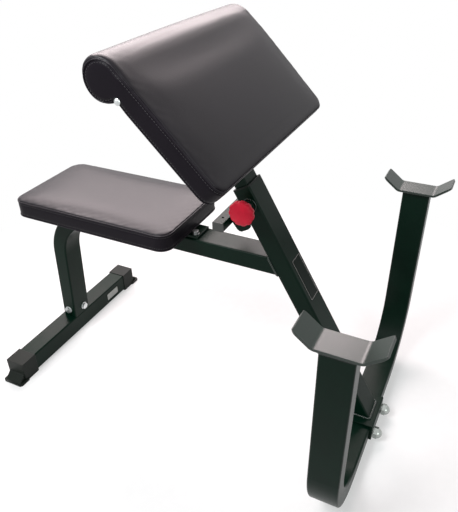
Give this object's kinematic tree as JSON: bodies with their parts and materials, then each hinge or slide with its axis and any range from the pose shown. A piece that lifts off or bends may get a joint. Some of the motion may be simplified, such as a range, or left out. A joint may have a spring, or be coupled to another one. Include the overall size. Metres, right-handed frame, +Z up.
{
  "type": "preacher curl bench",
  "caption": "Preacher curl bench with a padded seat on a bent rail, a sloping arm pad that slides up its post and locks with a pull pin, and a U-shaped rack with two bar cradles.",
  "frame": {"origin": "centre of the bounding box's footprint, on the floor", "axes": "+Z up, +Y along the bench from the bar rack to the seat and rear feet, +X across it; the pull pin is on the -X side"},
  "size_m": [0.646, 0.94, 0.8459],
  "materials": {
    "black_coat": "satin black powder coat",
    "zinc": "bright zinc plating",
    "steel_pin": "turned steel",
    "vinyl": "smooth black vinyl with a satin sheen",
    "plywood": "raw plywood",
    "black_plastic": "moulded black plastic",
    "grey_plastic": "moulded dark grey plastic",
    "red_plastic": "moulded crimson plastic"
  },
  "bodies": {
    "frame": {"rear_base_tube": "black_coat", "rear_foot_cap_left": "black_plastic", "rear_foot_cap_right": "black_plastic", "leg_spigot": "black_coat", "leg_and_seat_rail": "black_coat", "leg_bolts": "zinc", "leg_washers": "zinc", "leg_nuts": "zinc", "front_post": "black_coat", "post_bushing": "black_plastic", "saddle_foot": "black_coat", "bar_rack_tube": "black_coat", "rack_arm_plate_left": "black_coat", "rack_arm_plate_right": "black_coat", "bar_cradle_left": "black_coat", "bar_cradle_right": "black_coat", "saddle_bolts": "zinc", "saddle_washers": "zinc", "saddle_acorn_nuts": "zinc", "rear_cross_tube": "black_coat", "cross_tube_brackets": "black_coat", "cross_tube_plugs": "grey_plastic", "seat_bracket_front": "black_coat", "seat_bracket_rear": "black_coat", "bracket_bolts": "zinc", "bracket_rivet_nuts": "zinc", "seat_board": "plywood", "seat_bolts": "zinc", "seat_cushion": "vinyl", "pin_housing": "black_coat", "pin_spring": "zinc"},
    "arm_pad": {"inner_post": "black_coat", "inner_post_glide": "black_plastic", "inner_post_plug": "black_plastic", "pad_gussets": "black_coat", "pad_mount_plate": "black_coat", "arm_pad_board": "plywood", "arm_pad_bolts": "zinc", "arm_pad_side_screws": "zinc", "arm_pad_cushion": "vinyl"},
    "pull_pin": {"pull_pin": "steel_pin", "pull_knob": "red_plastic"}
  },
  "joints": [
    {"name": "pad_height", "type": "slide", "parent": "frame", "child": "arm_pad", "axis": [0, 0.5, 0.866], "range_m": [0, 0.12]},
    {"name": "pin_pull", "type": "slide", "parent": "frame", "child": "pull_pin", "axis": [-1, 0, 0], "range_m": [0, 0.008], "stiffness_N_per_m": 1200, "springref_m": -0.004, "deforming": ["pin_spring"]}
  ]
}
